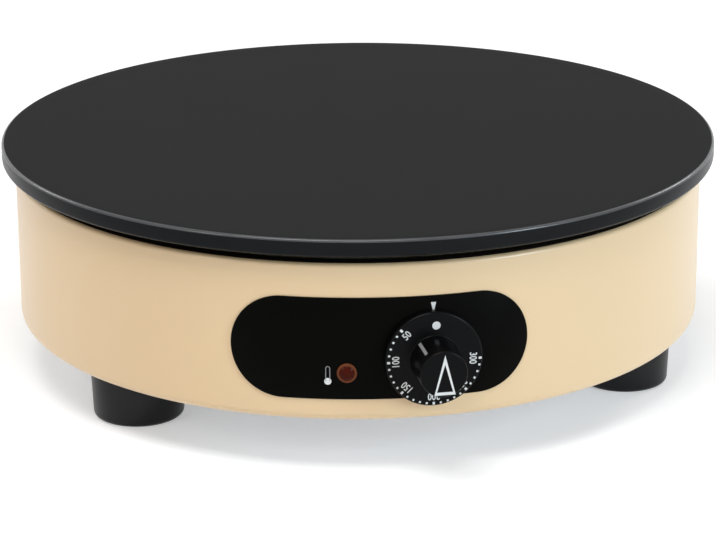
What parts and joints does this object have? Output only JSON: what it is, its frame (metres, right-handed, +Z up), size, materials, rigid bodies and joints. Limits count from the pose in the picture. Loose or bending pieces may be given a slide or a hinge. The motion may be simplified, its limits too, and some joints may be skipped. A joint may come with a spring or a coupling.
{
  "type": "electric crepe maker",
  "caption": "Round cast cooking plate on a painted sheet drum with three feet, a control panel, a dial knob that turns and an indicator lamp.",
  "frame": {"origin": "the point on the floor under the cooking plate's axis", "axes": "+Z up along the plate's axis, -Y towards the control panel, +X to the right seen from the panel"},
  "size_m": [0.4, 0.4337, 0.13],
  "materials": {
    "brass": "bare",
    "bright_sheet": "bright sheet",
    "bright_steel": "plated",
    "cast_plate": "machined and seasoned, satin",
    "ceramic": "steatite",
    "copper": "bare copper",
    "cream_enamel": "smooth enamel",
    "element_steel": "heat-darkened",
    "foot_black": "satin",
    "gland_black": "satin nylon",
    "housing_plastic": "satin",
    "knob_black": "fine satin",
    "lamp_red": "dark red translucent",
    "lead_blue": "silicone",
    "lead_brown": "silicone",
    "lead_green": "silicone",
    "mineral_board": "pressed mineral fibre",
    "panel_black": "smooth semi-gloss",
    "seal_rubber": "matt",
    "switch_case": "phenolic",
    "zinc_sheet": "zinc-coated sheet"
  },
  "bodies": {
    "chassis": {"base_cover": "zinc_sheet", "body_shell": "cream_enamel", "bulb_channel": "bright_sheet", "cable_gland": "gland_black", "clamp_nuts": "bright_steel", "clamp_plate": "zinc_sheet", "clamp_studs": "bright_steel", "control_panel": "panel_black", "cover_screws": "bright_steel", "cutout_blades": "brass", "cutout_screws": "bright_steel", "earth_lead": "lead_green", "earth_nut": "bright_steel", "earth_stud": "bright_steel", "earth_tag": "bright_steel", "element_lead": "lead_brown", "element_seals": "ceramic", "element_terminals": "bright_steel", "foot_left": "foot_black", "foot_nuts": "bright_steel", "foot_rear": "foot_black", "foot_right": "foot_black", "foot_screws": "bright_steel", "foot_washers": "bright_steel", "gland_cap": "gland_black", "gland_locknut": "gland_black", "gland_seal": "seal_rubber", "griddle_plate": "cast_plate", "heat_shield": "bright_sheet", "heating_element": "element_steel", "insulation_board": "mineral_board", "lamp_blades": "brass", "lamp_clip": "bright_steel", "lamp_housing": "housing_plastic", "lamp_leads": "lead_brown", "lamp_lens": "lamp_red", "live_lead": "lead_brown", "neutral_lead": "lead_blue", "overheat_cutout": "switch_case", "plate_nuts": "bright_steel", "plate_spacers": "bright_steel", "plate_studs": "bright_steel", "plate_washers": "bright_steel", "support_brackets": "zinc_sheet", "switched_lead": "lead_brown", "terminal_block": "ceramic", "terminal_block_screws": "bright_steel", "terminal_sleeves": "brass", "thermostat_blades": "brass", "thermostat_bracket": "zinc_sheet", "thermostat_bulb": "copper", "thermostat_capillary": "copper", "thermostat_case": "switch_case", "thermostat_screws": "bright_steel"},
    "knob": {"dial_knob": "knob_black", "knob_clip": "bright_steel", "thermostat_spindle": "bright_steel"}
  },
  "joints": [
    {"name": "knob_turn", "type": "hinge", "parent": "chassis", "child": "knob", "pos_m": [0.02886, -0.19791, 0.0644], "axis": [-0.1443, 0.9895, 0], "range_deg": [0, 268]}
  ]
}
